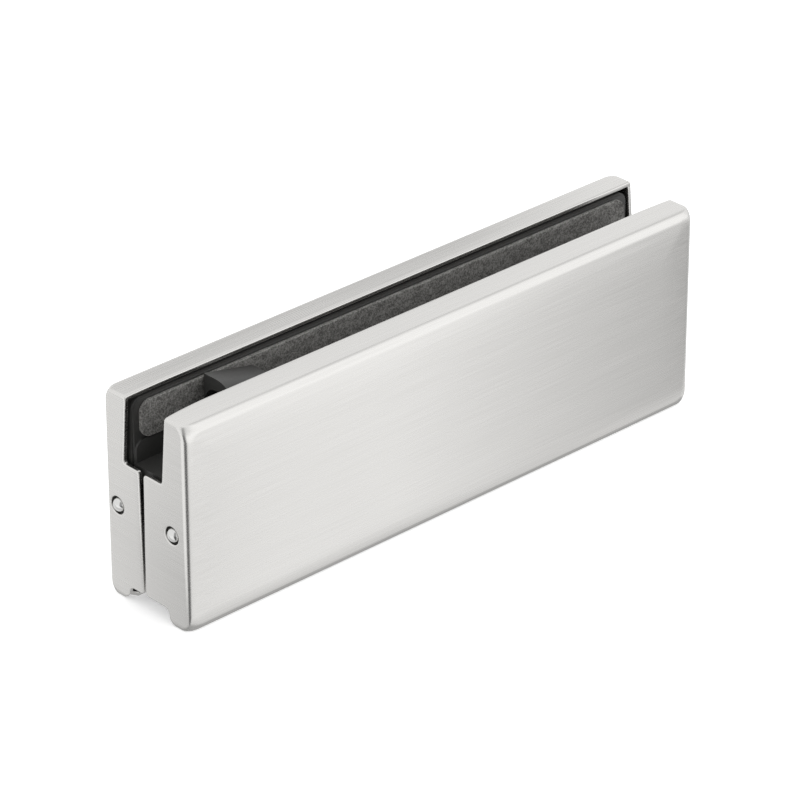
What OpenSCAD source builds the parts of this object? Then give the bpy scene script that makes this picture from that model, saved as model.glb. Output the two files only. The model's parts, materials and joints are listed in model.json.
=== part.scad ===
// Glass door patch fitting: two pressed covers snapped over a pair of black clamp bodies.
// Millimetres, +Z up. The origin is on the ground under the middle of the fitting,
// the long side runs along X and the front face looks towards -Y.

/* [Overall] */
// Length over the covers
length = 160; // [140:1:200]
// Height over the covers
height = 52.5; // [50:0.5:60]
// Depth from face to face
depth = 29; // [28:0.5:34]

/* [Covers] */
// Sheet thickness of the covers
wall = 1.2; // [0.8:0.1:1.4]
// Rounding of the edges round each face
edge_r = 2; // [1.5:0.1:2.5]
// Radius of the face's corners, seen from the front
corner_r = 4.2; // [3:0.1:6]
// Depth behind the face at which a corner's rounding has run out to a sharp fold
corner_depth = 2.6; // [2.4:0.1:4]
// Width of the front cover's top lip
front_lip = 8.7; // [7:0.1:9]
// Width of the rear cover's top lip
rear_lip = 7.8; // [7:0.1:9]
// Length over which a lip narrows towards its ends
lip_taper = 4; // [2:0.5:8]
// Width of the lip under each cover
base_lip = 7.6; // [6:0.1:8]
// Depth of the deeper end wall of a cover
deep_end = 15.5; // [14.8:0.1:16]
// Gap between the two covers at each end
cover_gap = 1.1; // [0.6:0.1:2]
// Height of an end wall's lower edge above the ground
foot_rise = 3; // [2:0.1:4]

/* [Glass slot] */
// Depth of the slot in the end walls
slot_depth = 17.3; // [15:0.1:20]
// Width of the deeper end's tab at its top
deep_tab_top = 7.6; // [7:0.1:9]
// Width of the deeper end's tab at its foot
deep_tab_foot = 8.9; // [7:0.1:9]
// Width of the shallower end's tab at its top
shallow_tab_top = 8.1; // [7:0.1:9]
// Width of the shallower end's tab at its foot
shallow_tab_foot = 7.2; // [6.5:0.1:9]
// Room between the two gaskets before the glass is clamped
glass_gap = 10.6; // [9:0.1:11]

/* [Gaskets] */
// Thickness of the fibre gaskets
gasket_t = 1; // [0.8:0.1:1.4]
// Height of the gaskets
gasket_h = 9.3; // [8:0.1:11]
// Distance from the top of the fitting down to the gaskets
gasket_drop = 2.5; // [2.2:0.1:4]
// Distance from the end of the fitting to the end of the gaskets
gasket_inset = 3.8; // [3.5:0.1:8]
// Corner radius of the gaskets
gasket_r = 3; // [1:0.1:4]

/* [Clamp bodies] */
// Clearance between a clamp body and the face of its cover
face_clear = 0.2; // [0.1:0.05:0.4]
// Clearance between the clamp bodies and the end walls of the covers
end_clear = 0.8; // [0.5:0.1:1.5]
// Clearance above and below the clamp bodies
lip_clear = 0.5; // [0.3:0.1:0.8]
// Corner radius of the clamp bodies
clamp_r = 2.8; // [2.6:0.1:4]
// Width and depth of the rebate round each clamping face
rebate = 0.45; // [0.3:0.05:0.8]
// Height by which the lower part stands out under the gasket
ledge = 0.6; // [0.4:0.1:1]
// Thickness of the floor under the glass
floor_t = 3.8; // [2:0.1:5]
// Gap between the floor and the front clamp body
floor_gap = 0.4; // [0.3:0.1:1]

/* [Clamp lug] */
// Distance from the left end of the fitting to the lug
lug_from_end = 21.9; // [20:0.1:28]
// Length of the lug
lug_l = 14.4; // [13:0.1:18]
// Depth of the lug's highest edge below the top of the fitting
lug_drop = 1.4; // [1.2:0.1:4]
// Slope of the lug's top
lug_slope = 12.3; // [5:0.1:15]
// Rounding of the lug's top towards the front
lug_r = 6.9; // [5.5:0.1:8]
// Distance of the lug's ridge behind the middle of the slot
lug_ridge_y = 0.8; // [0:0.1:2]
// Radius of the cored hole in the lug's left face
core_r = 4; // [3:0.1:4.5]
// Depth of the cored hole
core_depth = 3.4; // [2:0.1:4]

/* [Clamp screws] */
// Thread diameter of the clamp screws
screw_d = 8; // [6:1:8]
// Head diameter of the countersunk clamp screws
screw_head_d = 15; // [12:0.5:16]
// Clearance round the clamp screws in the front body
screw_clear = 0.3; // [0.2:0.1:0.6]
// Width across the flats of the clamp screws' sockets
socket_af = 5; // [4:0.5:6]
// Depth of the screw sockets
socket_depth = 3; // [2:0.5:4]
// Distance from the lug's left face to the screw that passes through the lug
lug_screw_x = 8.6; // [8:0.1:9]
// Depth below the top of the fitting of the screw that passes through the lug
lug_screw_drop = 10.5; // [9.5:0.1:11.5]
// Distance from the right end of the fitting to the low clamp screw
low_screw_from_end = 32; // [22:1:45]
// Depth of the low clamp screw below the floor under the glass
low_screw_drop = 11.4; // [10.4:0.1:14]
// Diameter of the boss round the low clamp screw
boss_d = 16; // [13:0.5:18]

/* [Pivot insert] */
// Distance from the left end of the fitting to the pivot
pivot_from_end = 60; // [56:0.5:68]
// Diameter of the pivot pin's bore
pivot_d = 12; // [10:0.5:12]
// Wall thickness of the pivot bush
bush_wall = 2; // [1.5:0.1:3]
// Length of the pivot bush
bush_l = 16; // [12:0.5:18]
// Length of the insert
insert_l = 36; // [30:1:40]
// Depth of the insert
insert_w = 24; // [22:0.5:25]
// Room between the insert and the floor under the glass
insert_room = 3; // [1:0.1:6]
// Running clearance round the insert
insert_clear = 0.3; // [0.2:0.05:0.5]
// Height of the sills that carry the insert
sill_h = 4; // [3:0.1:5]
// Room at each end of the insert in its window
window_room = 5; // [3:0.5:7]
// Radius of the gap between the sills for the pivot pin
pin_gap_r = 9; // [7:0.5:10]
// Length of the adjusting screws
adjust_l = 18; // [16:0.5:20]
// Length of the threaded blocks that hold the adjusting screws
block_l = 11; // [8:0.5:12]
// Distance from the insert to a threaded block
block_gap = 9; // [7:0.5:10]
// Diameter of the flat tip of an adjusting screw
adjust_tip_d = 5; // [3:0.5:6]
// Height of the threaded blocks
block_h = 22; // [18:0.5:24]

/* [Spring plungers] */
// Height of the plungers
plunger_z = 23.5; // [18:0.5:26]
// Distance from the face to the plunger at the deeper end of a cover
deep_plunger_y = 5.9; // [5.5:0.1:6]
// Distance from the face to the plunger at the shallower end of a cover
shallow_plunger_y = 4.4; // [4.2:0.1:5.8]
// Diameter of the plunger holes in the covers
plunger_hole_d = 4.4; // [4:0.1:5]
// Diameter of the plunger's nose
nose_d = 3.4; // [3:0.1:3.6]
// Distance by which the tip of the nose stands out of the cover
nose_out = 0.75; // [0.5:0.05:1]
// Height of the nose's domed tip
nose_dome = 1.15; // [0.8:0.05:1.5]
// Outside diameter of the plunger sleeve
sleeve_d = 5; // [4.8:0.1:5.2]
// Wall thickness of the plunger sleeve
sleeve_wall = 0.45; // [0.4:0.05:0.5]
// Length of the plunger sleeve
sleeve_l = 12.7; // [11:0.1:14]
// Thickness of the sleeve's lip and of its closed end
sleeve_lip = 0.8; // [0.5:0.1:1]
// Length of the plunger's collar
collar_l = 2; // [1.5:0.1:3]
// Sliding clearance of the plunger in its sleeve
plunger_clear = 0.05; // [0.03:0.01:0.08]
// Wire diameter of the plunger spring
wire_d = 0.5; // [0.4:0.05:0.6]
// Turns of the plunger spring
spring_turns = 6; // [4:1:8]

/* [Hidden] */

$fn = 64;
cut = 1;                                   // how far a cutter runs past the surface it cuts
press_clear = 0.02;                        // radial room of a pressed or screwed fit

half_l = length / 2;
half_d = depth / 2;
shallow_end = depth - cover_gap - deep_end;
step_z = height - slot_depth;
foot_curve_r = foot_rise / 2;              // each half of the curve between an end wall and the base lip
foot_start = base_lip - foot_curve_r;      // width of the base lip under an end wall
fold_r = 1;                                // small roundings on the end walls

clamp_half_l = half_l - wall - end_clear;
clamp_low = wall + lip_clear;
clamp_top = height - wall - lip_clear;
clamp_out = half_d - wall - face_clear;    // outer face of a clamp body, from the middle
clamp_in = glass_gap / 2 + gasket_t;       // seat of a gasket, from the middle
ledge_in = clamp_in - ledge;               // face of the thicker lower part, from the middle
gasket_top = height - gasket_drop;
gasket_low = gasket_top - gasket_h;
gasket_half_l = half_l - gasket_inset;
ledge_z = gasket_low - insert_clear;       // top of the thicker lower part

lug_x = lug_from_end - half_l;
lug_end_x = lug_x + lug_l;
lug_axis_z = height - lug_drop - lug_r / cos(lug_slope);
lug_back = glass_gap / 2 - insert_clear;
hole_x = lug_x + lug_screw_x;
lug_screw_z = height - lug_screw_drop;
floor_low = step_z - floor_t;
low_screw_x = half_l - low_screw_from_end;
low_screw_z = floor_low - low_screw_drop;
screw_l = clamp_out + clamp_out - face_clear;
screw_spots = [[hole_x, lug_screw_z], [low_screw_x, low_screw_z]];

pivot_x = pivot_from_end - half_l;
insert_low = clamp_low + sill_h + insert_clear;
insert_h = floor_low - insert_room - insert_low;
block_z = insert_low + insert_h / 2;       // height of the adjusting screws
bush_r = pivot_d / 2 + bush_wall;

mouth_clear = 0.1;                         // room between a sleeve's mouth and the end wall
plunger_face_x = half_l - wall - mouth_clear;
nose_r = nose_d / 2;
nose_tip_x = half_l + nose_out;
sleeve_bore_r = sleeve_d / 2 - sleeve_wall;
collar_x = plunger_face_x - sleeve_lip - plunger_clear;
spring_l = collar_x - collar_l - (plunger_face_x - sleeve_l + sleeve_lip);

// Outlines

// Square of w by d from the origin, with both corners on its y = 0 side rounded
module face_rounded(w, d, r) {
    translate([0, r]) square([w, d - r]);
    translate([r, 0]) square([w - 2 * r, 2 * r]);
    for (x = [r, w - r]) translate([x, r]) circle(r);
}

// Rectangle of w by h about the origin with round corners
module rounded_rect(w, h, r) {
    square([w - 2 * r, h], center = true);
    square([w, h - 2 * r], center = true);
    for (x = [-1, 1], y = [-1, 1]) translate([x * (w / 2 - r), y * (h / 2 - r)]) circle(r);
}

// Outline spun at a face corner, set in by the given amount: the edge rounding, then a straight
// flank that widens until it passes the fold between the lip and the end wall
module corner_outline(inset) {
    r = edge_r - inset;
    fold = [(corner_r - inset) * sqrt(2), corner_depth];
    centre = [corner_r - edge_r, edge_r];
    away = fold - centre;
    turn = atan2(away[1], away[0]) - acos(r / norm(away));
    touch = centre + r * [cos(turn), sin(turn)];
    end = fold + cut * (fold - touch);
    translate(centre) circle(r);
    polygon([[0, inset], [centre[0], inset], touch, end, [0, end[1]]]);
}

// End wall of a cover in depth and height: tab beside the slot, wall below it and curved foot
module end_outline(wall_depth, tab_top, tab_foot) {
    difference() {
        union() {
            translate([0, foot_rise]) square([wall_depth, step_z - foot_rise]);
            polygon([[0, step_z - cut], [tab_foot, step_z - cut], [tab_foot, step_z], [tab_top, height], [0, height]]);
            translate([tab_foot - fold_r, step_z - cut]) square([2 * fold_r, cut + fold_r]);
            square([foot_start, foot_rise]);
            translate([foot_start, foot_curve_r]) circle(foot_curve_r);
            translate([foot_start, foot_curve_r]) square([2 * foot_curve_r, foot_curve_r + cut]);
        }
        translate([tab_foot + fold_r, step_z + fold_r]) circle(fold_r);
        translate([foot_start + 2 * foot_curve_r, foot_curve_r]) circle(foot_curve_r);
        for (z = [step_z, foot_rise])
            translate([wall_depth, z]) corner_round(z == step_z ? -1 : 1);
    }
}

// What comes off an inner corner of an end wall: a square corner less a quarter circle
module corner_round(side) {
    difference() {
        translate([-fold_r, side > 0 ? -cut : -fold_r]) square([fold_r + cut, fold_r + cut]);
        translate([-fold_r, side * fold_r]) circle(fold_r);
    }
}

// Covers

// Solid form of a cover with its face at y = 0, set in by the given amount all round:
// rounded face edges, and corners that run out to a sharp fold
module cover_block(inset) {
    r = edge_r - inset;
    block_d = depth + inset;
    difference() {
        intersection() {
            translate([-half_l, inset, height - inset]) rotate([0, 90, 0]) linear_extrude(length)
                face_rounded(height - 2 * inset, block_d, r);
            translate([inset - half_l, inset, 0]) linear_extrude(height)
                face_rounded(length - 2 * inset, block_d, r);
        }
        for (sx = [-1, 1], sz = [-1, 1])
            translate([sx * (half_l - corner_r), 0, height / 2 + sz * (height / 2 - corner_r)])
                corner_cutter(sx, sz, inset);
    }
}

// What comes off one face corner, seen from the middle of its rounding
module corner_cutter(sx, sz, inset) {
    difference() {
        translate([sx > 0 ? 0 : -corner_r - cut, -cut, sz > 0 ? 0 : -corner_r - cut])
            cube([corner_r + cut, corner_depth + 2 * cut, corner_r + cut]);
        rotate([-90, 0, 0]) rotate_extrude() corner_outline(inset);
    }
}

// What the press leaves of the box: the face with its edges, two lips and two end walls
module cover_trim(lip) {
    inner_half_l = half_l - wall;
    translate([-half_l, 0, 0]) cube([length, corner_depth + cut, height]);
    linear_extrude(wall)
        polygon([[-half_l, 0], [half_l, 0], [half_l, foot_start], [inner_half_l, foot_start],
                 [inner_half_l - lip_taper, base_lip], [lip_taper - inner_half_l, base_lip],
                 [-inner_half_l, foot_start], [-half_l, foot_start]]);
    translate([0, 0, height - wall]) linear_extrude(wall)
        polygon([[-half_l, 0], [half_l, 0], [half_l, shallow_tab_top], [half_l - lip_taper, lip],
                 [lip_taper - half_l, lip], [-half_l, deep_tab_top]]);
    translate([-half_l, 0, 0]) rotate([90, 0, 90]) linear_extrude(wall)
        end_outline(deep_end, deep_tab_top, deep_tab_foot);
    translate([half_l - wall, 0, 0]) rotate([90, 0, 90]) linear_extrude(wall)
        end_outline(shallow_end, shallow_tab_top, shallow_tab_foot);
}

// One pressed cover with its face at y = 0; the deeper end wall is on the left
module cover_sheet(lip) {
    difference() {
        intersection() {
            difference() {
                cover_block(0);
                cover_block(wall);
            }
            cover_trim(lip);
        }
        translate([-half_l - cut, deep_plunger_y, plunger_z]) rotate([0, 90, 0])
            cylinder(h = wall + 2 * cut, d = plunger_hole_d);
        translate([half_l - wall - cut, shallow_plunger_y, plunger_z]) rotate([0, 90, 0])
            cylinder(h = wall + 2 * cut, d = plunger_hole_d);
    }
}

module front_cover() {
    color("silver") translate([0, -half_d, 0]) cover_sheet(front_lip);
}

module rear_cover() {
    color("silver") rotate([0, 0, 180]) translate([0, -half_d, 0]) cover_sheet(rear_lip);
}

// Clamp bodies

// Flat slab across the fitting between two heights, from y0 to y1
module slab(half_x, y0, y1, z0, z1, r) {
    translate([0, y1, (z0 + z1) / 2]) rotate([90, 0, 0]) linear_extrude(y1 - y0)
        rounded_rect(2 * half_x, z1 - z0, r);
}

// Half of the clamp on the +Y side: gasket seat with a rebated rim, and a thicker lower part
module clamp_half() {
    slab(clamp_half_l, clamp_in + rebate, clamp_out, clamp_low, clamp_top, clamp_r);
    slab(clamp_half_l - rebate, clamp_in, clamp_out, clamp_low + rebate, clamp_top - rebate, clamp_r - rebate);
    slab(clamp_half_l - rebate, ledge_in, clamp_out, clamp_low + rebate, ledge_z, clamp_r - rebate);
}

// Window for the insert and the gap between the sills for the pivot pin
module insert_window() {
    window_l = insert_l + 2 * window_room;
    translate([pivot_x - window_l / 2, -half_d, insert_low - insert_clear])
        cube([window_l, depth, insert_h + 2 * insert_clear]);
    translate([pivot_x, 0, 0]) cylinder(h = insert_low + cut, r = pin_gap_r);
}

// Bores for the sleeves in the half on the +Y side, as the turned cover's holes need them
module sleeve_bores() {
    bore_l = sleeve_l + mouth_clear - end_clear;
    translate([clamp_half_l - bore_l, half_d - deep_plunger_y, plunger_z]) rotate([0, 90, 0])
        cylinder(h = bore_l + cut, r = sleeve_d / 2 + press_clear);
    translate([-clamp_half_l - cut, half_d - shallow_plunger_y, plunger_z]) rotate([0, 90, 0])
        cylinder(h = bore_l + cut, r = sleeve_d / 2 + press_clear);
}

// Lug on the front body: top rounded towards the front and falling to the right
module clamp_lug() {
    low = step_z + insert_clear;
    difference() {
        intersection() {
            translate([lug_x, -clamp_out, low]) cube([lug_l, clamp_out + lug_back, height - low]);
            lug_ridge();
        }
        translate([lug_x, lug_ridge_y, lug_axis_z]) rotate([0, 90 + lug_slope, 0])
            translate([0, 0, -core_depth]) cylinder(h = 2 * core_depth, r = core_r);
    }
}

// Sloping ridge that gives the lug its top
module lug_ridge() {
    ridge_l = 2 * lug_l;
    translate([lug_x, lug_ridge_y, lug_axis_z]) rotate([0, lug_slope, 0]) translate([-lug_l / 2, 0, 0]) {
        rotate([0, 90, 0]) cylinder(h = ridge_l, r = lug_r);
        translate([0, 0, -height]) cube([ridge_l, half_d, height + lug_r]);
        translate([0, -half_d, -height]) cube([ridge_l, depth, height]);
    }
}

module front_clamp_body() {
    color("#202020") difference() {
        union() {
            rotate([0, 0, 180]) difference() {
                clamp_half();
                sleeve_bores();
            }
            clamp_lug();
        }
        insert_window();
        for (spot = screw_spots) translate([spot[0], -clamp_out, spot[1]]) rotate([-90, 0, 0]) {
            translate([0, 0, -cut]) cylinder(h = depth, d = screw_d + 2 * screw_clear);
            cylinder(h = (screw_head_d - screw_d) / 2 + screw_clear, d1 = screw_head_d + 2 * screw_clear, d2 = screw_d);
        }
    }
}

module rear_clamp_body() {
    floor_front = ledge_in - floor_gap;
    color("#202020") difference() {
        union() {
            clamp_half();
            translate([-clamp_half_l, -floor_front, floor_low])
                cube([2 * clamp_half_l, floor_front + clamp_in, floor_t]);
            for (side = [-1, 1]) translate([pivot_x + side * (insert_l / 2 + block_gap + block_l / 2), 0, 0])
                translate([-block_l / 2, -floor_front, floor_low - block_h])
                    cube([block_l, floor_front + clamp_in, block_h + floor_t / 2]);
            translate([low_screw_x, clamp_in, low_screw_z]) rotate([90, 0, 0])
                cylinder(h = clamp_in + floor_front, d = boss_d);
        }
        insert_window();
        sleeve_bores();
        for (spot = screw_spots) translate([spot[0], half_d, spot[1]]) rotate([90, 0, 0])
            cylinder(h = depth, d = screw_d + 2 * press_clear);
        translate([pivot_x, 0, block_z]) rotate([0, 90, 0])
            cylinder(h = 2 * (insert_l / 2 + block_gap + block_l + cut), d = screw_d + 2 * insert_clear, center = true);
    }
}

// Gaskets

// Gasket strip between two places along the fitting, on the +Y side
module gasket_strip(x0, x1) {
    translate([(x0 + x1) / 2, clamp_in, (gasket_low + gasket_top) / 2]) rotate([90, 0, 0])
        linear_extrude(gasket_t) rounded_rect(x1 - x0, gasket_h, gasket_r);
}

module rear_gasket() {
    color("#5a5a58") difference() {
        gasket_strip(-gasket_half_l, gasket_half_l);
        translate([hole_x, 0, lug_screw_z]) rotate([-90, 0, 0]) cylinder(h = depth, d = screw_d + 4 * screw_clear);
    }
}

module front_gasket_short() {
    color("#5a5a58") mirror([0, 1, 0]) gasket_strip(-gasket_half_l, lug_x - insert_clear);
}

module front_gasket_long() {
    color("#5a5a58") mirror([0, 1, 0]) gasket_strip(lug_end_x + insert_clear, gasket_half_l);
}

// Clamp screws

// Countersunk screw along +Y with its head's face at y = 0
module clamp_screw() {
    head_l = (screw_head_d - screw_d) / 2;
    rotate([-90, 0, 0]) difference() {
        union() {
            cylinder(h = head_l, d1 = screw_head_d, d2 = screw_d);
            cylinder(h = screw_l, d = screw_d);
        }
        translate([0, 0, -cut]) cylinder(h = socket_depth + cut, d = socket_af / cos(30), $fn = 6);
    }
}

module lug_clamp_screw() {
    color("dimgray") translate([hole_x, face_clear - clamp_out, lug_screw_z]) clamp_screw();
}

module low_clamp_screw() {
    color("dimgray") translate([low_screw_x, face_clear - clamp_out, low_screw_z]) clamp_screw();
}

// Pivot

module pivot_insert() {
    color("gray") difference() {
        translate([pivot_x - insert_l / 2, -insert_w / 2, insert_low]) cube([insert_l, insert_w, insert_h]);
        translate([pivot_x, 0, insert_low - cut]) cylinder(h = bush_l + cut, r = bush_r + press_clear);
    }
}

module pivot_bush() {
    color("darkgoldenrod") translate([pivot_x, 0, insert_low]) difference() {
        cylinder(h = bush_l - press_clear, r = bush_r);
        translate([0, 0, -cut]) cylinder(h = bush_l + 2 * cut, d = pivot_d);
    }
}

// Set screw along +X with its flat tip at the origin and its socket at the far end
module adjusting_screw() {
    tip_l = (screw_d - adjust_tip_d) / 2;
    rotate([0, 90, 0]) difference() {
        union() {
            cylinder(h = tip_l, d1 = adjust_tip_d, d2 = screw_d);
            translate([0, 0, tip_l]) cylinder(h = adjust_l - tip_l, d = screw_d);
        }
        translate([0, 0, adjust_l - socket_depth])
            cylinder(h = socket_depth + cut, d = socket_af / cos(30), $fn = 6);
    }
}

module adjusting_screw_left() {
    color("dimgray") translate([pivot_x - insert_l / 2, 0, block_z]) rotate([0, 0, 180]) adjusting_screw();
}

module adjusting_screw_right() {
    color("dimgray") translate([pivot_x + insert_l / 2, 0, block_z]) adjusting_screw();
}

// Spring plungers

// Puts a plunger that is drawn along +X in its place; the right side is drawn as it stands
module plunger_place(front, left) {
    from_face = front == left ? deep_plunger_y : shallow_plunger_y;
    y = front ? from_face - half_d : half_d - from_face;
    translate([0, y, plunger_z]) rotate([0, 0, left ? 180 : 0]) children();
}

module plunger_sleeve() {
    back_x = plunger_face_x - sleeve_l;
    translate([back_x, 0, 0]) rotate([0, 90, 0]) difference() {
        cylinder(h = sleeve_l, d = sleeve_d);
        translate([0, 0, sleeve_lip]) cylinder(h = sleeve_l - 2 * sleeve_lip, r = sleeve_bore_r);
        translate([0, 0, sleeve_lip]) cylinder(h = sleeve_l, r = nose_r + plunger_clear);
    }
}

// Plunger with a collar inside its sleeve and a nose with a spherical tip
module plunger() {
    dome_r = (nose_r * nose_r + nose_dome * nose_dome) / (2 * nose_dome);
    collar_back = collar_x - collar_l;
    translate([collar_back, 0, 0]) rotate([0, 90, 0]) {
        cylinder(h = collar_l, r = sleeve_bore_r - plunger_clear);
        intersection() {
            cylinder(h = nose_tip_x - collar_back, r = nose_r);
            translate([0, 0, nose_tip_x - collar_back - dome_r]) rotate_extrude() intersection() {
                circle(dome_r);
                translate([0, -dome_r]) square([dome_r, 2 * dome_r]);
            }
        }
    }
}

// Coil spring between the closed end of the sleeve and the plunger's collar
module plunger_spring() {
    sides = 6;
    steps = 14;
    coil_r = sleeve_bore_r - plunger_clear - wire_d;
    rings = spring_turns * steps;
    back_x = plunger_face_x - sleeve_l + sleeve_lip;
    pitch_x = (spring_l - wire_d) / rings;
    points = [for (i = [0:rings], k = [0:sides - 1])
        let (turn = 360 * i / steps, lean = 360 * k / sides, r = coil_r + wire_d / 2 * cos(lean))
        [back_x + wire_d / 2 + i * pitch_x + wire_d / 2 * sin(lean), r * cos(turn), r * sin(turn)]];
    sides_faces = [for (i = [0:rings - 1], k = [0:sides - 1])
        let (a = i * sides + k, b = i * sides + (k + 1) % sides) [a, a + sides, b + sides, b]];
    ends = [[for (k = [0:sides - 1]) k], [for (k = [sides - 1:-1:0]) rings * sides + k]];
    polyhedron(points, concat(sides_faces, ends));
}

module placed_sleeve(front, left) {
    color("lightgray") plunger_place(front, left) plunger_sleeve();
}

module placed_plunger(front, left) {
    color("gainsboro") plunger_place(front, left) plunger();
}

module placed_spring(front, left) {
    color("slategray") plunger_place(front, left) plunger_spring();
}

front_cover();
rear_cover();
front_clamp_body();
rear_clamp_body();
rear_gasket();
front_gasket_short();
front_gasket_long();
lug_clamp_screw();
low_clamp_screw();
pivot_insert();
pivot_bush();
adjusting_screw_left();
adjusting_screw_right();
placed_sleeve(true, true);  // plunger_sleeve_front_left
placed_sleeve(true, false);  // plunger_sleeve_front_right
placed_sleeve(false, true);  // plunger_sleeve_rear_left
placed_sleeve(false, false);  // plunger_sleeve_rear_right
placed_plunger(true, true);  // plunger_front_left
placed_plunger(true, false);  // plunger_front_right
placed_plunger(false, true);  // plunger_rear_left
placed_plunger(false, false);  // plunger_rear_right
placed_spring(true, true);  // plunger_spring_front_left
placed_spring(true, false);  // plunger_spring_front_right
placed_spring(false, true);  // plunger_spring_rear_left
placed_spring(false, false);  // plunger_spring_rear_right
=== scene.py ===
import json
import math

import bmesh
import bpy
import numpy as np
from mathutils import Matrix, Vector


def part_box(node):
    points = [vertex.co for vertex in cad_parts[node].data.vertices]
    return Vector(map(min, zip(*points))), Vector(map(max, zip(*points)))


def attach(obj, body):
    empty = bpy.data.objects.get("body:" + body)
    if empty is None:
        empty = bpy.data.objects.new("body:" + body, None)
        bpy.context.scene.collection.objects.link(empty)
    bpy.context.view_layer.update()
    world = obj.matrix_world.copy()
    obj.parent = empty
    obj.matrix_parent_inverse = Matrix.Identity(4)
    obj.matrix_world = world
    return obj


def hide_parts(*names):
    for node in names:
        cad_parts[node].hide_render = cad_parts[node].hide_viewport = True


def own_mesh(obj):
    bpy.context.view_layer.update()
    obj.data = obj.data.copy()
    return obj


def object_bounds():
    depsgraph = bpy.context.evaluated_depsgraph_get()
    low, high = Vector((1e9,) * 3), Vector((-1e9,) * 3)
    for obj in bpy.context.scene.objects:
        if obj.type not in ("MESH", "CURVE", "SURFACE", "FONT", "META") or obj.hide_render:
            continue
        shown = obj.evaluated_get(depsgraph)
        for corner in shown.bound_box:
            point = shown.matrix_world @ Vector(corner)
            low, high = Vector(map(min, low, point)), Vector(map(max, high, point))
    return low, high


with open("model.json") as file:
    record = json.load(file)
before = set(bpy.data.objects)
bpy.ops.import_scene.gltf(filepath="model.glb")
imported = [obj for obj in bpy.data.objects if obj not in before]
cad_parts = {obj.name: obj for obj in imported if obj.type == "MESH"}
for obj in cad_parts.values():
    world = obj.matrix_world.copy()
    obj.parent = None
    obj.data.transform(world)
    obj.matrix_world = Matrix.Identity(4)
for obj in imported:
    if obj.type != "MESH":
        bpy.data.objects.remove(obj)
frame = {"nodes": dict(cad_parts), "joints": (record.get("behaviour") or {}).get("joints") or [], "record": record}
cad_box = [list(corner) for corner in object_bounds()]

MM = 0.001

# The fitting's sizes are in millimetres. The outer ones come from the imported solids.
cover_low, cover_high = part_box("front_cover")
half_length = cover_high.x / MM
height = cover_high.z / MM
half_height = height / 2
half_depth = -cover_low.y / MM
deep_end = (cover_high.y - cover_low.y) / MM
cover_gap = 1.1
shallow_end = 2 * half_depth - deep_end - cover_gap

# Pressed sheet: thickness, rounds of its edge and corners, crown of the face, folds and free edges
wall = 1.2
edge_r = 2.0
edge_inset = 2.5
corner_r = 5.2
corner_depth = 3.5
crown_drop = 0.3
crown_width = 9.0
fold_r = 0.7
fold_inside_r = 0.3
fold_side = 2.2
sheet_edge_r = 0.3
sheet_edge_soft = 0.6
base_depth = 3.6

# Reach of the lips from the face, and feet of the end walls
front_lip = 8.7
rear_lip = 7.8
base_lip = 7.6
lip_taper = 1.6
lip_sweep = 14.0
foot_sweep = 3.0
foot_rise = 2.0
foot_curve_r = 1.7
foot_start = base_lip - foot_sweep

# Edge of the end walls: its small rounds and its step, the tabs beside the glass slot as (top, foot), and
# what its lean adds to the reach as (low, high)
trim_r = 1.0
step_drop = 17.3
step_height = height - step_drop
deep_tab = (7.6, 8.9)
shallow_tab = (8.2, 7.0)
end_lean = (0.2, -0.2)

# Holes for the noses of the plungers
hole_d = 4.4
hole_flare = 0.3
plunger_nodes = ("plunger_front_left", "plunger_front_right", "plunger_rear_left", "plunger_rear_right")

# Fibre strips, and the notch of the rear one round the lug's clamp screw
gasket_r = 3.0
gasket_edge_r = 0.22
gasket_fuzz = 0.05
notch_d = 9.2
notch_x = -49.5
notch_z = 42.0

# Round on the castings' edges, and wire of the plungers' springs
casting_edge = 0.3
spring_wire_d = 0.5
spring_turns = 6

# Faces that meet at more than this angle keep a hard line
SHARP_ANGLE = math.radians(38)

# The way in which the painted dark wedge in the floor's reflected glow runs, out from the fitting's front left
# corner towards the camera
DARK_WEDGE_SIDE = (-0.6834, -0.7301)

fitting_middle = Vector((0.0, 0.0, half_height * MM))


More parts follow.
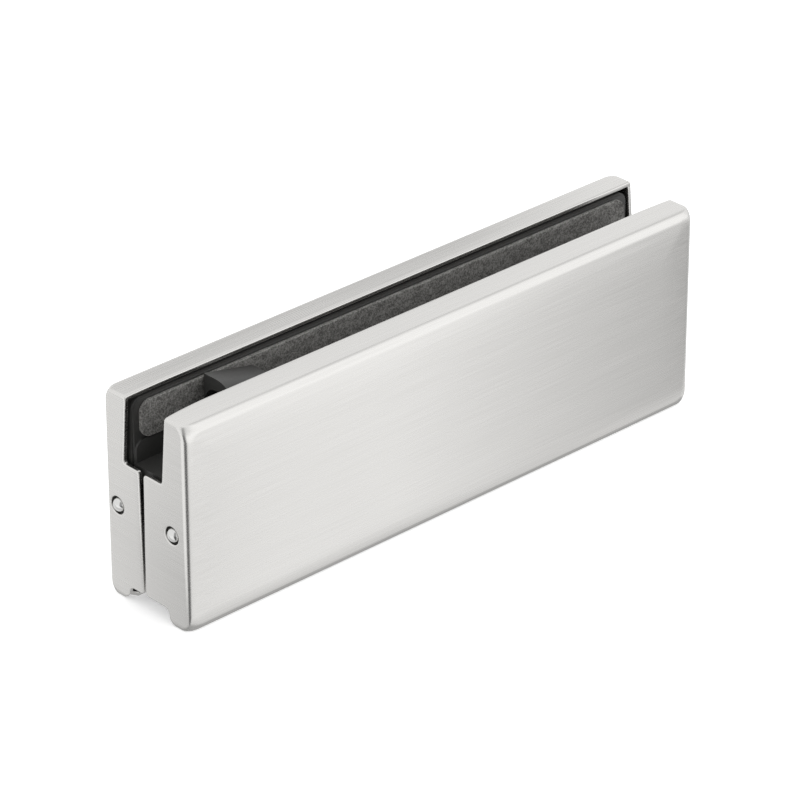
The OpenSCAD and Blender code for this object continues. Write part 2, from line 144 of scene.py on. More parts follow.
class Wire:
    """A socket of a node tree. Sums, products and the like of wires add Math nodes; node() adds any other."""

    def __init__(self, tree, socket=None):
        self.tree = tree
        self.socket = socket

    def node(self, kind, settings=None, inputs=None, output=0):
        """Adds a node: its settings first, then the values or links of its sockets. Gives one output."""
        made = self.tree.nodes.new(kind)
        for name, value in (settings or {}).items():
            setattr(made, name, value)
        for name, value in (inputs or {}).items():
            if isinstance(value, Wire):
                self.tree.links.new(value.socket, made.inputs[name])
            else:
                made.inputs[name].default_value = value
        return Wire(self.tree, made.outputs[output]) if made.outputs else None

    def math(self, operation, *values):
        """Adds a Math node on wires and numbers."""
        inputs = dict(enumerate(values))
        return self.node("ShaderNodeMath", {"operation": operation}, inputs)

    def __add__(self, other):
        return self.math("ADD", self, other)

    def __radd__(self, other):
        return self.math("ADD", other, self)

    def __sub__(self, other):
        return self.math("SUBTRACT", self, other)

    def __rsub__(self, other):
        return self.math("SUBTRACT", other, self)

    def __mul__(self, other):
        return self.math("MULTIPLY", self, other)

    def __rmul__(self, other):
        return self.math("MULTIPLY", other, self)

    def __abs__(self):
        return self.math("ABSOLUTE", self)

    def ramp(self, low, high):
        """0 below low, 1 above high, with a soft rise between; low may be the larger one."""
        return self.node("ShaderNodeMapRange", {"interpolation_type": "SMOOTHSTEP"},
                         {"Value": self, "From Min": low, "From Max": high})

    def slope(self, low, high):
        """The same as ramp, with a straight rise."""
        return self.node("ShaderNodeMapRange", inputs={"Value": self, "From Min": low, "From Max": high})

    def parts(self):
        """The x, y and z of a vector."""
        split = self.node("ShaderNodeSeparateXYZ", inputs={"Vector": self}).socket.node
        return [Wire(self.tree, socket) for socket in split.outputs]

    def scaled(self, factors):
        """A vector with each part times its own factor."""
        return self.node("ShaderNodeVectorMath", {"operation": "MULTIPLY"}, {0: self, 1: factors})

    def noise(self, scale, detail=2.0, roughness=0.5):
        """Soft random values about 0.5 at this place."""
        return self.node("ShaderNodeTexNoise", inputs={"Vector": self, "Scale": scale, "Detail": detail,
                                                       "Roughness": roughness}, output="Fac")

    def tint(self, dark, light):
        """A colour between dark and light, by this value."""
        return self.node("ShaderNodeMix", {"data_type": "RGBA"},
                         {0: self, 6: (*dark, 1.0), 7: (*light, 1.0)}, output=2)


class Finish:
    """A material with one Principled shader, whose even values are set on its own sockets."""

    def __init__(self, name, even):
        self.material = bpy.data.materials.new(name)
        self.material.use_nodes = True
        tree = self.material.node_tree
        self.shader = tree.nodes["Principled BSDF"]
        for socket, value in even.items():
            self.shader.inputs[socket].default_value = value
        self.start = Wire(tree)
        self.place = self.start.node("ShaderNodeTexCoord", output="Object")

    def feed(self, socket, wire):
        """Links a value that changes over the surface to a socket of the shader."""
        self.start.tree.links.new(wire.socket, self.shader.inputs[socket])

    def bump(self, wire, strength, distance):
        """Turns a height into the shader's normal."""
        normal = self.start.node("ShaderNodeBump", inputs={"Height": wire, "Strength": strength,
                                                           "Distance": distance})
        self.feed("Normal", normal)


def brushed_cover():
    """Brushed stainless sheet: fine streaks along the length, and across the end walls from front to back."""
    finish = Finish("brushed_cover", {"Metallic": 1.0})
    end_start, end_full = half_length - 0.9, half_length - 0.3
    x = finish.place.parts()[0]
    on_end = abs(x).ramp(end_start * MM, end_full * MM)

    def streaks(along, across, detail):
        """Noise that changes slowly along the streaks and quickly across them."""
        long_way = finish.place.scaled((along, across, across)).noise(1.0, detail)
        end_way = finish.place.scaled((across, along, across)).noise(1.0, detail)
        return long_way * (1 - on_end) + end_way * on_end

    fine = streaks(45.0, 3800.0, 2.0)
    middle = streaks(28.0, 1500.0, 2.0)
    broad = streaks(9.0, 240.0, 1.0)
    grain = 0.7 * fine + 0.18 * middle + 0.12 * broad
    finish.feed("Base Color", grain.tint((0.66, 0.652, 0.635), (0.83, 0.821, 0.803)))
    finish.feed("Roughness", 0.16 + 0.2 * grain)
    finish.bump(fine, 0.06, 0.00004)
    return finish.material


def black_casting():
    """Black coated aluminium with a fine pebbled skin."""
    finish = Finish("black_casting", {"Specular IOR Level": 0.6})
    pebble = finish.place.noise(2600.0, 3.0)
    cloud = finish.place.noise(140.0, 2.0)
    finish.feed("Base Color", cloud.tint((0.033, 0.033, 0.0315), (0.05, 0.05, 0.048)))
    finish.feed("Roughness", 0.34 + 0.18 * pebble)
    finish.bump(pebble, 0.3, 0.00005)
    return finish.material


def fibre_gasket():
    """Grey pressed fibre, matt, with a fuzzy mottled skin."""
    finish = Finish("fibre_gasket", {"Specular IOR Level": 0.25})
    fuzz = finish.place.noise(2500.0, 4.0, 0.7)
    mottle = finish.place.scaled((420.0, 900.0, 900.0)).noise(1.0, 3.0)
    tone = 0.75 * fuzz + 0.25 * mottle
    finish.feed("Base Color", tone.ramp(0.36, 0.66).tint((0.08, 0.078, 0.074), (0.31, 0.305, 0.293)))
    finish.feed("Roughness", 0.85 + 0.12 * fuzz)
    finish.bump(fuzz, 0.7, 0.00018)
    return finish.material


def plain_metal(name, dark, light, rough):
    """Turned metal: a base tone that varies a little, and a slight unevenness in its gloss."""
    finish = Finish(name, {"Metallic": 1.0})
    cloud = finish.place.noise(900.0, 3.0)
    finish.feed("Base Color", cloud.tint(dark, light))
    finish.feed("Roughness", rough + 0.08 * cloud)
    finish.bump(finish.place.noise(3000.0, 2.0), 0.12, 0.00003)
    return finish.material


finishes = {
    "brushed_cover": brushed_cover(),
    "black_casting": black_casting(),
    "fibre_gasket": fibre_gasket(),
    "dark_screw": plain_metal("dark_screw", (0.045, 0.045, 0.047), (0.07, 0.07, 0.073), 0.34),
    "insert_steel": plain_metal("insert_steel", (0.42, 0.42, 0.41), (0.54, 0.54, 0.53), 0.26),
    "bush_bronze": plain_metal("bush_bronze", (0.44, 0.27, 0.12), (0.55, 0.35, 0.17), 0.28),
    # Blackened steel, set this dark as painted shade so that the ring round each plunger's nose shows as dark as a
    # shaded gap in its hole
    "sleeve_steel": plain_metal("sleeve_steel", (0.05, 0.05, 0.05), (0.075, 0.075, 0.075), 0.38),
    "plunger_steel": plain_metal("plunger_steel", (0.68, 0.68, 0.67), (0.78, 0.78, 0.77), 0.04),
    "spring_steel": plain_metal("spring_steel", (0.38, 0.38, 0.38), (0.5, 0.5, 0.5), 0.22),
}

for subpart in frame["record"]["subparts"]:
    solid = frame["nodes"][subpart["node"]]
    solid.data.materials.clear()
    solid.data.materials.append(finishes[subpart["material_slot"]])


def grid_faces(rows, columns):
    """Quads between the rows of a grid whose columns close on themselves."""
    row, column = np.meshgrid(np.arange(rows - 1), np.arange(columns), indexing="ij")
    beside = (column + 1) % columns
    corners = [row * columns + column, row * columns + beside,
               (row + 1) * columns + beside, (row + 1) * columns + column]
    return np.stack(corners, axis=-1).reshape(-1, 4).tolist()


def closed_skin(name, points):
    """A mesh from a grid of points (rows, columns, 3) in millimetres: quads, with the first and last row as
    caps. The faces are turned outwards where the enclosed volume comes out negative."""
    rows, columns = points.shape[:2]
    flat = points.reshape(-1, 3) * MM
    faces = grid_faces(rows, columns)
    faces.append(list(range(columns))[::-1])
    faces.append(list(range((rows - 1) * columns, rows * columns)))
    quads = flat[np.array(faces[:-2])]
    a, b, c, d = (quads[:, corner] for corner in range(4))
    volume = np.sum(np.cross(a, b) * c) + np.sum(np.cross(a, c) * d)
    for cap in (points[0, ::-1] * MM, points[-1] * MM):
        volume += np.sum(np.cross(cap[0], cap[1:-1]) * cap[2:])
    if volume < 0:
        faces = [face[::-1] for face in faces]
    mesh = bpy.data.meshes.new(name)
    mesh.from_pydata(flat.tolist(), [], faces)
    mesh.update()
    return mesh


def line(start, end, count):
    """Points on a straight way from start up to but without end."""
    return np.linspace(start, end, count, endpoint=False)


def arc(centre, radius, start, end, count):
    """Points on a circle from one angle, in degrees, up to but without another."""
    angle = np.radians(np.linspace(start, end, count, endpoint=False))
    return np.array(centre) + radius * np.stack([np.cos(angle), np.sin(angle)], axis=1)


def foot_reach(z):
    """Depth of an end wall's foot at a height: a quarter of an ellipse from foot_start out to the base lip's
    edge."""
    return foot_start + foot_sweep * np.sqrt(np.clip(1 - (1 - z / foot_rise) ** 2, 0, 1))


def end_edge(reach, tab):
    """The free edge of an end wall as (depth, height), from the base lip up to the top lip: a foot that
    curves out and back again, the full reach of the wall, a step back under the glass slot and a tab that
    leans from its foot to its top."""
    tab_top, tab_foot = tab
    foot_top = foot_rise + foot_curve_r
    reach_low, reach_high = reach + end_lean[0], reach + end_lean[1]
    full_low, full_high = reach_low - trim_r, reach_high - trim_r
    low, high = foot_top + trim_r, step_height - trim_r
    foot_out = base_lip + foot_curve_r
    foot_z = line((fold_r,), (foot_rise,), 8)
    tab_turn = (tab_foot + trim_r, step_height + trim_r)
    top = (tab_top, height - fold_r)
    return np.concatenate([
        np.concatenate([foot_reach(foot_z), foot_z], axis=1),
        arc((foot_out, foot_rise), foot_curve_r, 180, 90, 7),
        line((foot_out, foot_top), (full_low, foot_top), 6),
        arc((full_low, low), trim_r, -90, 0, 6),
        line((reach_low, low), (reach_high, high), 24),
        arc((full_high, high), trim_r, 0, 90, 6),
        line((full_high, step_height), (tab_turn[0], step_height), 6),
        arc(tab_turn, trim_r, 270, 180, 6),
        line((tab_foot, tab_turn[1]), top, 28),
        [top],
    ])


def cover_loop(lip):
    """One turn round a cover, seen from its face: base lip, right end, top lip, left end, with a small fold
    at each corner. Gives for each column the outline at the cover's base (x, z), the place on the free edge
    (x, depth, z) and the direction (depth, z) from that edge into the sheet. z is taken from mid-height."""
    reach_x, reach_z = half_length - fold_r, half_height - fold_r
    swing = np.linspace(-math.pi / 2, math.pi / 2, 96)
    along = reach_x * np.sin(swing)
    even_share = 0.08
    edge_margin = 1.2

    def lip_columns(x, z, depth):
        """A lip along x, with its free edge at the given depths."""
        base = np.stack([x, np.full_like(x, z)], axis=1)
        return base, depth, base[:, 1], np.tile([-1.0, 0.0], (len(x), 1))

    def fold_columns(sign_x, sign_z, start, tab=None):
        """The fold between a lip and an end wall: a quarter turn that ends at a tab or a foot."""
        base = arc((sign_x * reach_x, sign_z * reach_z), fold_r, start, start + 90, 9)[1:]
        depth = np.full(len(base), tab[0]) if tab else foot_reach(base[:, 1] + half_height)
        return base, depth, base[:, 1], np.tile([-1.0, 0.0], (len(base), 1))

    def end_columns(x, reach, tab):
        """An end wall. Its columns rise from the heights found edge_margin inside the free edge, which are
        mixed with a small share of an even spread so that no two columns meet."""
        edge = end_edge(reach, tab)
        step = np.gradient(edge, axis=0)
        step /= np.linalg.norm(step, axis=1, keepdims=True)
        into = np.stack([-step[:, 1], step[:, 0]], axis=1)
        run = np.concatenate([[0.0], np.cumsum(np.linalg.norm(np.diff(edge, axis=0), axis=1))])
        even = edge[0, 1] + (edge[-1, 1] - edge[0, 1]) * run / run[-1]
        behind = np.maximum.accumulate(edge[:, 1] + edge_margin * into[:, 1])
        base_z = (1 - even_share) * np.minimum(behind, edge[-1, 1]) + even_share * even - half_height
        return np.stack([np.full_like(base_z, x), base_z], axis=1), edge[:, 0], edge[:, 1] - half_height, into

    def turned(columns):
        """The same columns in the opposite order."""
        return tuple(part[::-1] for part in columns)

    from_end = half_length - np.abs(along)
    tab_top = np.where(along < 0, deep_tab[0], shallow_tab[0])
    top_depth = lip - (lip - tab_top) * np.clip(1 - from_end / lip_sweep, 0, 1) ** 2
    base_depths = np.interp(from_end, [wall, wall + lip_taper], [foot_start, base_lip])
    stretches = [
        lip_columns(along, -half_height, base_depths),
        fold_columns(1, -1, -90),
        end_columns(half_length, shallow_end, shallow_tab),
        fold_columns(1, 1, 0, shallow_tab),
        turned(lip_columns(along, half_height, top_depth)),
        fold_columns(-1, 1, 90, deep_tab),
        turned(end_columns(-half_length, deep_end, deep_tab)),
        fold_columns(-1, -1, 180),
    ]
    base, depth, edge_z, into = (np.concatenate(parts) for parts in zip(*stretches))
    edge = np.stack([base[:, 0], depth, edge_z], axis=1)
    return base, edge, into


def outline(base, inset, radius):
    """The cover's outline drawn in by inset, with its corners rounded to radius. Each column runs on a ray
    from the rectangle of corner centres through its base point, out to the flat side or the corner's arc."""
    least_r = 0.05
    reach = np.array([half_length - corner_r, half_height - corner_r])
    core = np.clip(base, -reach, reach)
    ray = base - core
    ray = ray / np.linalg.norm(ray, axis=1, keepdims=True)
    c, s = np.abs(ray[:, 0]), np.abs(ray[:, 1])
    size = (corner_r - inset)[:, None]
    round_off = np.clip(radius - inset, least_r, corner_r - inset)[:, None]
    centre = size - round_off
    flat = size / np.maximum(c, s)
    bend = centre * (c + s) + np.sqrt(np.maximum(centre ** 2 * (2 * c * s - 1) + round_off ** 2, 0))
    far = np.where(flat * np.minimum(c, s) > centre, bend, flat)
    return core + far[:, :, None] * ray


def at_depth(xz, depth):
    """Points (x, depth, z) from outlines (rows, columns, 2) and a depth for each row."""
    y = np.broadcast_to(np.asarray(depth)[:, None], xz.shape[:2])
    return np.stack([xz[:, :, 0], y, xz[:, :, 1]], axis=2)


def corner_round(depth):
    """Radius of the outline's corners at a depth. On the corner's diagonal the sheet follows a quarter of an
    ellipse from the face to the sharp fold at corner_depth; the radius is what is left of its way in, less
    the inset of the rounded edge."""
    diagonal = math.sqrt(2) - 1
    into_edge = np.clip(1 - (depth - crown_drop) / (edge_r - crown_drop), 0, 1)
    into_corner = np.clip(1 - (depth - crown_drop) / (corner_depth - crown_drop), 0, 1)
    edge_way = edge_inset * (1 - np.sqrt(1 - into_edge ** 2))
    corner_way = (edge_inset + diagonal * (corner_r - fold_r)) * (1 - np.sqrt(1 - into_corner ** 2))
    return fold_r + (corner_way - edge_way) / diagonal


def face_rows(base):
    """Rows of the slightly crowned face, from the middle out: the outline at face_inset, shrunk towards the
    middle, at a depth that grows with the square of the way into the crowned margin."""
    inner_corner_r = 1.0
    face_inset = corner_r - inner_corner_r
    last_inset = edge_inset + 0.3
    inset = np.array([20.0, 14.0, 11.5, 10.0, 8.5, 7.0, 5.5, 4.3, face_inset, last_inset])
    near = outline(base, np.minimum(inset, face_inset), np.full(len(inset), corner_r))
    half = np.array([half_length, half_height])
    shrink = (half - np.maximum(inset, face_inset)[:, None]) / (half - face_inset)
    margin = np.clip(1 - (inset - edge_inset) / crown_width, 0, 1)
    return at_depth(near * shrink[:, None, :], crown_drop * margin ** 2)


def squeeze(value, half):
    """Carries a place on the outside of the sheet to its inside: unchanged along a side, drawn in at the
    corners."""
    outside = [0, half - fold_side, half - fold_r, half]
    inside = [0, half - fold_side, half - wall - fold_inside_r, half - wall]
    return np.sign(value) * np.interp(np.abs(value), outside, inside)


def cover_points(lip):
    """A pressed cover as one closed skin of rows, from the face over its rounded edge down the outside, round
    the sheet's edge and back up the inside. Depth is 0 at the face."""
    base, edge, into = cover_loop(lip)
    turn = np.radians(np.linspace(0, 90, 11))

    round_inset = edge_inset * (1 - np.sin(turn))
    round_depth = crown_drop + (edge_r - crown_drop) * (1 - np.cos(turn))
    blend_depth = np.append(np.linspace(edge_r, corner_depth, 4)[1:], base_depth)
    inset = np.concatenate([round_inset, np.zeros(len(blend_depth))])
    depth = np.concatenate([round_depth, blend_depth])
    edge_rows = at_depth(outline(base, inset, corner_round(depth)), depth)
    outside = np.concatenate([face_rows(base), edge_rows])

    bend = np.radians(np.linspace(0, 90, 5))
    back = np.concatenate([sheet_edge_soft * (1 - np.sin(bend)), sheet_edge_r * (1 - np.cos(bend))])
    down = np.concatenate([sheet_edge_r * (1 - np.cos(bend)), wall - sheet_edge_r * (1 - np.sin(bend))])
    inner = np.stack([squeeze(edge[:, 0], half_length), squeeze(edge[:, 2], half_height)], axis=1)
    share = (down / wall)[:, None]
    rim = np.stack([
        edge[:, 0] * (1 - share) + inner[:, 0] * share,
        edge[:, 1] + back[:, None] * into[:, 0],
        edge[:, 2] * (1 - share) + inner[:, 1] * share + back[:, None] * into[:, 1],
    ], axis=2)

    inner_r = edge_r - wall
    flat_insets = [3.0, 4.0]
    inside_turn = turn[::-2]
    inside_inset = np.concatenate([[wall, wall], wall + inner_r * (1 - np.sin(inside_turn)), flat_insets])
    inside_depth = np.concatenate([[base_depth, corner_depth], wall + inner_r * (1 - np.cos(inside_turn)),
                                   [wall, wall]])
    inside = at_depth(outline(base, inside_inset, corner_round(inside_depth)), inside_depth)

    def between(first, last, count):
        """Rows spread evenly between two rows, without those two."""
        t = np.linspace(0, 1, count + 2)[1:-1, None, None]
        return first * (1 - t) + last * t

    skin = np.concatenate([
        outside,
        between(outside[-1], rim[0], 5),
        rim,
        between(rim[-1], inside[0], 3),
        inside,
    ])
    skin[:, :, 2] += half_height
    return skin


def plunger_cutter():
    """A round punch along x for each plunger's hole, flared where it leaves the sheet: profile (x, radius)
    turned about the plunger's axis."""
    bend = np.radians(np.linspace(0, 90, 5))
    radius = hole_d / 2
    punch_start, punch_end = half_length - 3 * wall, half_length + wall
    x = np.concatenate([[punch_start], half_length - hole_flare * (1 - np.sin(bend)), [punch_end]])
    r = np.concatenate([[radius], radius + hole_flare * (1 - np.cos(bend)), [radius + hole_flare]])
    turn = np.linspace(0, 2 * math.pi, 64, endpoint=False)
    for node in plunger_nodes:
        low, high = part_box(node)
        middle = (low + high) / 2 / MM
        side = np.sign(middle.x)
        points = np.stack([
            np.broadcast_to(side * x[:, None], (len(x), len(turn))),
            middle.y + r[:, None] * np.cos(turn),
            middle.z + r[:, None] * np.sin(turn),
        ], axis=2)
        yield node, closed_skin("punch", points)


def soften(mesh):
    """Smooth shading, with hard lines left where faces meet at more than SHARP_ANGLE."""
    mesh.polygons.foreach_set("use_smooth", np.ones(len(mesh.polygons), dtype=bool))
    mesh.set_sharp_from_angle(angle=SHARP_ANGLE)


def add_piece(name, mesh, slot, node):
    """A new piece with a slot's finish, which rides on the clamp and stands for a CAD node."""
    piece = bpy.data.objects.new(name, mesh)
    bpy.context.scene.collection.objects.link(piece)
    mesh.materials.clear()
    mesh.materials.append(finishes[slot])
    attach(piece, "clamp")
    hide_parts(node)
    return piece


def punch(piece, side):
    """Cuts the holes of the plungers on one side, front or rear, and keeps the cut mesh."""
    for node, cutter_mesh in plunger_cutter():
        if side not in node:
            continue
        cutter = bpy.data.objects.new("punch", cutter_mesh)
        bpy.context.scene.collection.objects.link(cutter)
        cut = piece.modifiers.new("hole", "BOOLEAN")
        cut.operation = "DIFFERENCE"
        cut.solver = "EXACT"
        cut.object = cutter
        bpy.context.view_layer.objects.active = piece
        bpy.ops.object.modifier_apply(modifier=cut.name)
        bpy.data.objects.remove(cutter)
        bpy.data.meshes.remove(cutter_mesh)
    soften(piece.data)


def make_covers():
    """The front cover, and the rear one as the same form turned half a turn, with a narrower lip."""
    front = cover_points(front_lip)
    front[:, :, 1] -= half_depth
    rear = cover_points(rear_lip)
    rear[:, :, 0] *= -1
    rear[:, :, 1] = half_depth - rear[:, :, 1]
    for side, points in (("front", front), ("rear", rear)):
        node = side + "_cover"
        piece = add_piece(node + "_pressed", closed_skin(node, points), "brushed_cover", node)
        punch(piece, side)


def gasket_points(node, grain):
    """A fibre strip carried along x: its section is a rectangle with rounded edges between a low and a high
    line, which close in round the strip's corners and step round a screw where the strip has a notch. Small
    random shifts, which fade out at the two ends, make the skin fuzzy."""
    ring_gap = 0.45
    low, high = (np.array(corner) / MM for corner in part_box(node))
    end_bend = np.radians(np.linspace(0, 90, 6))
    near = gasket_edge_r * (1 - np.cos(end_bend))
    span = high[0] - low[0]
    inner = np.linspace(gasket_edge_r, span - gasket_edge_r, int(span / ring_gap))
    x = np.concatenate([near[:-1], inner, span - near[-2::-1]])
    from_end = np.minimum(x, span - x)
    thin = gasket_edge_r * (1 - np.sqrt(np.clip(1 - (1 - from_end / gasket_edge_r) ** 2, 0, 1)))
    thin = np.where(from_end < gasket_edge_r, thin, 0)
    drop = gasket_r - np.sqrt(np.clip(gasket_r ** 2 - np.clip(gasket_r - from_end, 0, None) ** 2, 0, None))
    top = high[2] - drop
    bottom = low[2] + drop
    if node == "rear_gasket":
        away = x + low[0] - notch_x
        arch = np.sqrt(np.clip((notch_d / 2) ** 2 - away ** 2, 0, None))
        bottom = np.where(arch > 0, np.maximum(bottom, notch_z + arch), bottom)

    bend = np.radians(np.linspace(0, 90, 5))
    r = gasket_edge_r
    side = np.linspace(0, 1, 12)[1:-1]
    thick = high[1] - low[1]
    away_y = np.concatenate([r * np.sin(bend), np.full(len(side), r), r * np.cos(bend)])
    share = np.concatenate([np.zeros(len(bend)), side, np.ones(len(bend))])
    shift = np.concatenate([r * (1 - np.cos(bend)), np.zeros(len(side)), -r * (1 - np.sin(bend))])
    upper, lower = (top - thin)[:, None], (bottom + thin)[:, None]
    z = lower + (upper - lower) * share + shift
    z_loop = np.concatenate([z, z[:, ::-1]], axis=1)
    half_thick = thick / 2 - thin[:, None]
    front_y = half_thick - r + away_y
    y_loop = np.concatenate([front_y, -front_y[:, ::-1]], axis=1) + (high[1] + low[1]) / 2
    x_loop = np.broadcast_to((x + low[0])[:, None], z_loop.shape)
    points = np.stack([x_loop, y_loop, z_loop], axis=2)
    outwards = np.sign(points - points.mean(1, keepdims=True)) * (0.0, 1.0, 1.0)
    fade = np.clip(from_end / gasket_edge_r, 0, 1)[:, None, None] ** 2
    return points + grain.uniform(-gasket_fuzz, 0.0, points.shape) * outwards * fade


def make_gaskets():
    """The three fibre strips, with one run of random shifts for all of them."""
    grain = np.random.default_rng(7)
    for node in ("rear_gasket", "front_gasket_short", "front_gasket_long"):
        mesh = closed_skin(node, gasket_points(node, grain))
        soften(mesh)
        add_piece(node + "_fibre", mesh, "fibre_gasket", node)


def make_castings():
    """Copies of the two cast bodies: triangles merged to flat faces, whose edges get a small round."""
    merge_gap = 0.001
    flat_angle = math.radians(1)
    for node in ("front_clamp_body", "rear_clamp_body"):
        mesh = frame["nodes"][node].data.copy()
        work = bmesh.new()
        work.from_mesh(mesh)
        bmesh.ops.remove_doubles(work, verts=work.verts, dist=merge_gap * MM)
        bmesh.ops.dissolve_limit(work, angle_limit=flat_angle, verts=work.verts, edges=work.edges)
        work.to_mesh(mesh)
        work.free()
        piece = add_piece(node + "_cast", mesh, "black_casting", node)
        soften(mesh)
        bevel = piece.modifiers.new("edge", "BEVEL")
        bevel.width = casting_edge * MM
        bevel.segments = 2
        bevel.limit_method = "ANGLE"
        bevel.angle_limit = SHARP_ANGLE
        bevel.harden_normals = True


def spring_points(node):
    """A round wire carried along a helix: each ring of the wire's section is turned about the coil's axis and
    set a little further along it."""
    rings_a_turn = 32
    wire_sides = 12
    low, high = (np.array(corner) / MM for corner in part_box(node))
    centre = (low + high) / 2
    wire_r = spring_wire_d / 2
    coil_r = (high[1] - low[1]) / 2 - wire_r
    along = np.linspace(low[0] + wire_r, high[0] - wire_r, rings_a_turn * spring_turns + 1)[:, None]
    turn = np.linspace(0, 2 * math.pi * spring_turns, len(along))[:, None]
    section = np.linspace(0, 2 * math.pi, wire_sides, endpoint=False)
    r = coil_r + wire_r * np.cos(section)
    return np.stack([
        along + wire_r * np.sin(section),
        centre[1] + r * np.cos(turn),
        centre[2] + r * np.sin(turn),
    ], axis=2)


def make_springs():
    """Coil springs, one for each plunger that a joint presses in, each built within its spring node's box."""
    for joint in frame["joints"]:
        if not joint["name"].startswith("press_"):
            continue
        node = joint["name"].replace("press_", "plunger_spring_")
        mesh = closed_skin(node, spring_points(node))
        soften(mesh)
        piece = add_piece(node + "_coil", mesh, "spring_steel", node)
        low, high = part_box(node)
        seat = (low + high) / 2
        seat.x = low.x if low.x > 0 else high.x
        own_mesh(piece)


make_covers()
make_gaskets()
make_castings()
make_springs()


def stage_plane(name, corners, finish):
    """A flat piece of the stage with four corners."""
    mesh = bpy.data.meshes.new(name)
    mesh.from_pydata(corners, [], [(0, 1, 2, 3)])
    mesh.materials.append(finish.material)
    plane = bpy.data.objects.new(name, mesh)
    bpy.context.scene.collection.objects.link(plane)
    return plane


def make_floor():
    """A pale floor that keeps the object's shadow: matt white, lifted a little for the camera so that the
    open floor is as white as the backdrop. For reflections only, it glows as a painted lit sheet, whose light
    changes in bands on both sides of a painted dark wedge that widens from the fitting's front left corner
    outwards, and which is dimmed under the fitting as a painted shadow. The bands are placed in metres."""
    reach = 4.0
    gap = 0.05 * MM
    soft_edge = 1.5
    z = cad_box[0][2] - gap
    corners = [(-reach, -reach, z), (reach, -reach, z), (reach, reach, z), (-reach, reach, z)]
    finish = Finish("floor", {"Roughness": 0.9, "Specular IOR Level": 0.0, "Emission Strength": 1.0})
    x, y, _ = finish.place.parts()
    from_x, from_y = x + half_length * MM, y + half_depth * MM
    toward = DARK_WEDGE_SIDE[0] * from_x + DARK_WEDGE_SIDE[1] * from_y
    across = DARK_WEDGE_SIDE[1] * from_x - DARK_WEDGE_SIDE[0] * from_y
    # A dark wedge painted into the floor's glow towards the camera; the metal's edges show it as a painted dark
    # reflection
    painted_dark_wedge = abs(finish.start.math("ARCTAN2", across, toward)).ramp(0.46, 0.22)

    # In front of the fitting: bright at the left, half as bright at the right, brighter again further out
    along_front = x + DARK_WEDGE_SIDE[0] / DARK_WEDGE_SIDE[1] * from_y
    front = 1.05 - 0.53 * along_front.slope(-0.02, 0.1) - 0.08 * along_front.slope(-0.055, -0.08)
    front = front + 0.6 * from_y.ramp(-0.045, -0.25) + 0.3 * along_front.ramp(0.12, 0.25)
    # Close to the fitting's front the glow is held at one even level, part of the painted contact shade under the
    # fitting
    clear = from_y.ramp(-0.0015, -0.006)
    front = front * clear + 0.8 * (1 - clear)

    # Beside its left end: darker, with more light towards the rear and further out
    along_end = y + DARK_WEDGE_SIDE[1] / DARK_WEDGE_SIDE[0] * from_x
    end = 0.67 + 0.19 * along_end.slope(-0.014, 0.014) + 0.07 * from_x.ramp(-0.022, -0.04)
    end = end + 0.34 * along_end.ramp(-0.022, -0.04)
    beside = across.ramp(-0.001, 0.001)

    # Under the fitting: a painted shadow that dims the glow, with a soft edge
    under = abs(x).ramp((half_length + soft_edge) * MM, half_length * MM)
    under = under * abs(y).ramp((half_depth + soft_edge) * MM, half_depth * MM)

    # The glow that reflections show: painted light in bands, darkened by the painted dark wedge and by the painted
    # shadow under the fitting
    sheet = (front * (1 - beside) + end * beside) * (1 - 0.85 * painted_dark_wedge) * (1 - 0.42 * under)
    seen = finish.start.node("ShaderNodeLightPath", output="Is Camera Ray")
    mirrored = finish.start.node("ShaderNodeLightPath", output="Is Glossy Ray")
    lift = 0.36 * seen + 0.8 * sheet * mirrored
    finish.feed("Base Color", mirrored.tint((0.9, 0.9, 0.9), (0.0, 0.0, 0.0)))
    finish.feed("Emission Color", lift.tint((0.0, 0.0, 0.0), (1.25, 1.25, 1.25)))
    stage_plane("floor", corners, finish)


def make_flag():
    """A thin grey flag behind the rear cover, as a studio has them: only reflections show it, and it takes
    some of the light from the rear lip. It is a soft band that fades out towards its ends. Places are in
    metres."""
    half_width = 0.11
    y = 0.03
    low, high = 0.054, 0.08
    band_z = 0.0645
    density = 0.32
    corners = [(-half_width, y, low), (half_width, y, low), (half_width, y, high), (-half_width, y, high)]
    dark = (0.02, 0.02, 0.02, 1.0)
    finish = Finish("flag", {"Base Color": dark, "Roughness": 1.0, "Specular IOR Level": 0.0})
    x, _, z = finish.place.parts()
    band = abs(z - band_z).ramp(0.009, 0.003)
    ends = x.ramp(-0.1, -0.045) * x.ramp(0.105, 0.035)
    finish.feed("Alpha", density * band * ends)
    flag = stage_plane("flag", corners, finish)
    flag.visible_camera = False
    flag.visible_diffuse = False
    flag.visible_shadow = False


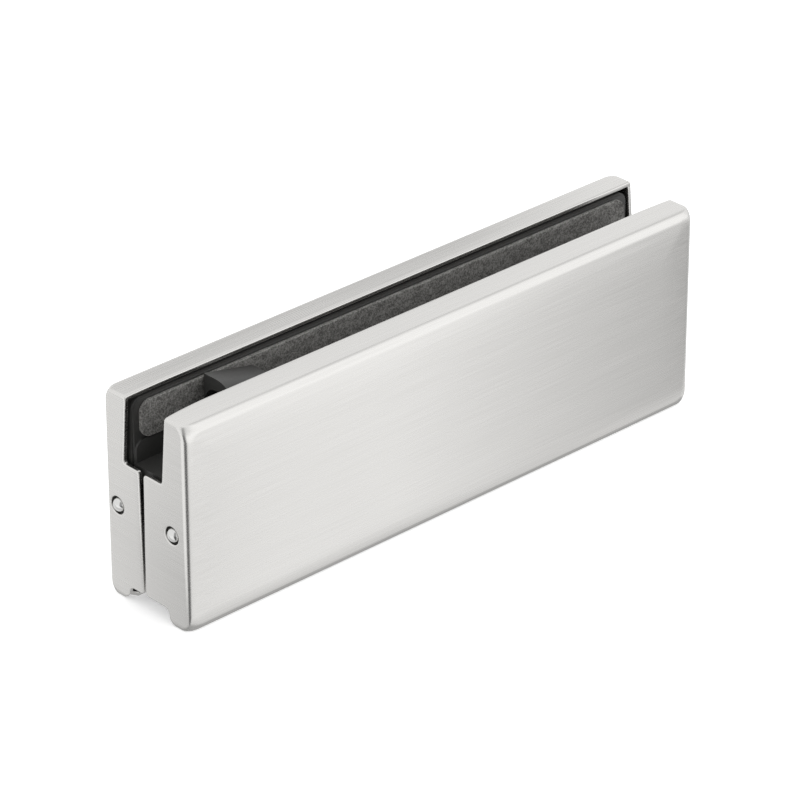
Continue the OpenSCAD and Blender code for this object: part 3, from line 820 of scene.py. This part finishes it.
def make_world():
    """A light tent: white for the camera, and for the object a bright room with a dark opening at the front
    left, a small grey flag at the right and a softbox at the front right."""
    world = bpy.data.worlds.new("light_tent")
    bpy.context.scene.world = world
    world.use_nodes = True
    tree = world.node_tree
    tree.nodes.clear()
    start = Wire(tree)
    direction = start.node("ShaderNodeTexCoord", output="Generated")
    x, y, z = direction.parts()

    # Angles in degrees: azimuth from the front round to the right, elevation from the floor up
    azimuth = start.math("ARCTAN2", x, -1.0 * y) * (180 / math.pi)
    elevation = start.math("ARCSINE", z) * (180 / math.pi)
    opening = abs(azimuth + 42.5).ramp(27.0, 9.0) * elevation.ramp(72.0, 40.0)
    flag = abs(azimuth - 100.0).ramp(32.0, 12.0) * abs(elevation - 49.0).ramp(20.0, 8.0)
    softbox = abs(azimuth - 38.0).ramp(40.0, 16.0) * abs(elevation - 22.0).ramp(46.0, 14.0)
    glow = (0.97 - 0.2 * flag) * (1 - 0.6 * opening) + 0.22 * softbox
    seen = start.node("ShaderNodeLightPath", output="Is Camera Ray")
    strength = seen + (1 - seen) * glow
    back = start.node("ShaderNodeBackground", inputs={"Color": (1.0, 1.0, 1.0, 1.0), "Strength": strength})
    start.node("ShaderNodeOutputWorld", inputs={"Surface": back})


def make_lamp(name, place, size, power):
    """A soft square lamp that faces the object's middle."""
    lamp = bpy.data.lights.new(name, "AREA")
    lamp.size = size
    lamp.energy = power
    holder = bpy.data.objects.new(name, lamp)
    bpy.context.scene.collection.objects.link(holder)
    holder.location = place
    holder.rotation_euler = (fitting_middle - Vector(place)).to_track_quat("-Z", "Y").to_euler()
    holder.visible_glossy = False


def make_camera():
    """The photograph's view: from the front left and above, with a long lens."""
    camera = bpy.data.cameras.new("photo_camera")
    camera.sensor_width = 36.0
    camera.lens = 202.08
    camera.shift_x = -0.01131
    camera.shift_y = -0.00735
    camera.clip_end = 20.0
    holder = bpy.data.objects.new("photo_camera", camera)
    bpy.context.scene.collection.objects.link(holder)
    distance = 1.0456
    toward = Vector((-0.6012, -0.6423, 0.4754)).normalized()
    holder.location = fitting_middle + distance * toward
    holder.rotation_euler = (-toward).to_track_quat("-Z", "Y").to_euler()
    bpy.context.scene.camera = holder


make_floor()
make_flag()
make_world()
make_lamp("key_lamp", place=(0.45, -0.55, 0.6), size=0.5, power=1.6)
make_camera()
bpy.context.scene.view_settings.view_transform = "Standard"
